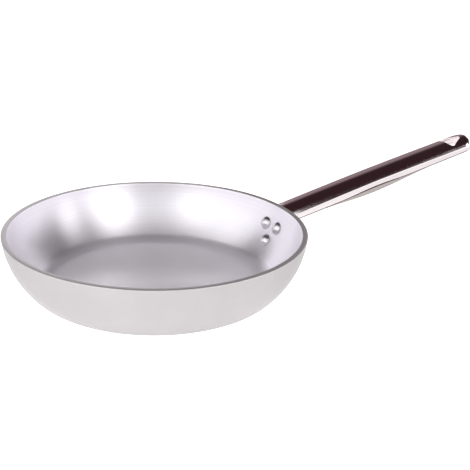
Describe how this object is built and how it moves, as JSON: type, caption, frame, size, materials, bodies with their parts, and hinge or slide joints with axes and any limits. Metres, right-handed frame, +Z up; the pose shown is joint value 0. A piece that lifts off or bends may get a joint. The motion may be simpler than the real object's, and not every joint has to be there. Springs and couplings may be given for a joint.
{
  "type": "frying pan",
  "caption": "Shallow flared frying pan of thick bare aluminium with a long upswept sheet-steel handle riveted to its wall and a triangular hanging hole near the tip",
  "frame": {"origin": "centre of the underside of the pan's flat base, on the pan's axis", "axes": "+Z up along the pan's axis, +X out along the handle, +Y to the left seen from the pan towards the tip"},
  "size_m": [0.5259, 0.28, 0.0969],
  "materials": {
    "pan_aluminium": "satin, turned inside",
    "handle_steel": "polished",
    "rivet_aluminium": "bright, pressed"
  },
  "bodies": {
    "root": {"pan_body": "pan_aluminium", "handle": "handle_steel", "rivet_upper_left": "rivet_aluminium", "rivet_upper_right": "rivet_aluminium", "rivet_lower": "rivet_aluminium"}
  },
  "joints": []
}
